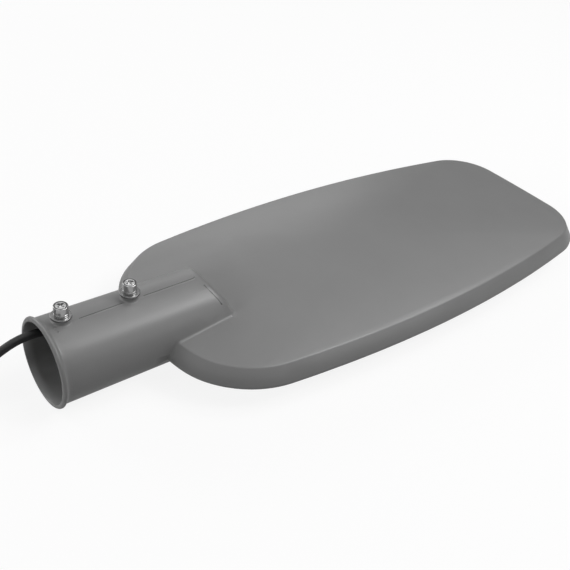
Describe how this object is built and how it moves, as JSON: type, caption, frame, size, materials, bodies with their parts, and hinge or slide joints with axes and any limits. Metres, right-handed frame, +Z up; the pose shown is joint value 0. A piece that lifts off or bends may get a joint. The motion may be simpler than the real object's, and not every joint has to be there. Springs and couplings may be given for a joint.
{
  "type": "led street light head",
  "caption": "Oval cast aluminium street lighting head with a round pole socket, two clamp screws, a glass window and a gear bay below, and a supply cable.",
  "frame": {"origin": "centre of the pole socket's mouth, on the socket's axis", "axes": "+X from the mouth along the socket to the far end of the head, +Y across the head, +Z up, away from the road"},
  "size_m": [0.7112, 0.262, 0.0819],
  "materials": {
    "die_cast_aluminium": "grey powder coat, satin, on die-cast aluminium",
    "plated_steel": "bright zinc plated",
    "sheet_aluminium": "plain mill finish",
    "toughened_glass": "clear, polished",
    "silicone_rubber": "matte moulded silicone",
    "heat_pad": "matte soft filled silicone",
    "white_board": "white solder mask",
    "lamp_chip": "yellow phosphor",
    "clear_acrylic": "clear moulded acrylic",
    "white_plastic": "moulded, fine matte",
    "black_plastic": "moulded nylon, matte",
    "cable_rubber": "black rubber sheath, matte",
    "wire_sheath": "smooth insulated leads",
    "tinned_copper": "tin plated copper"
  },
  "bodies": {
    "root": {"housing": "die_cast_aluminium", "gear_cover": "die_cast_aluminium", "window_frame": "die_cast_aluminium", "gear_cover_gasket": "silicone_rubber", "gear_cover_screws": "plated_steel", "breather_plug": "black_plastic", "window_frame_screws": "plated_steel", "glass_pane": "toughened_glass", "glass_gasket": "silicone_rubber", "led_tray": "sheet_aluminium", "tray_screws": "plated_steel", "thermal_pad": "heat_pad", "led_board": "white_board", "board_screws": "plated_steel", "led_chips": "lamp_chip", "lens_array": "clear_acrylic", "led_driver": "sheet_aluminium", "terminal_block": "white_plastic", "surge_protector": "white_plastic", "gear_screws": "plated_steel", "earth_screw": "plated_steel", "earth_lug": "tinned_copper", "pole_clamp_screws": "plated_steel", "spring_washers": "plated_steel", "flat_washers": "plated_steel", "gland_body": "black_plastic", "gland_seal": "silicone_rubber", "gland_nut": "black_plastic", "lead_grommet": "silicone_rubber", "inner_cable": "cable_rubber", "mains_leads": "wire_sheath", "surge_leads": "wire_sheath", "earth_lead": "wire_sheath", "lamp_leads": "wire_sheath", "supply_cable": "cable_rubber", "supply_cable_coil": "cable_rubber", "supply_cable_tail": "cable_rubber", "supply_cores": "wire_sheath", "core_ferrules": "tinned_copper"}
  },
  "joints": []
}
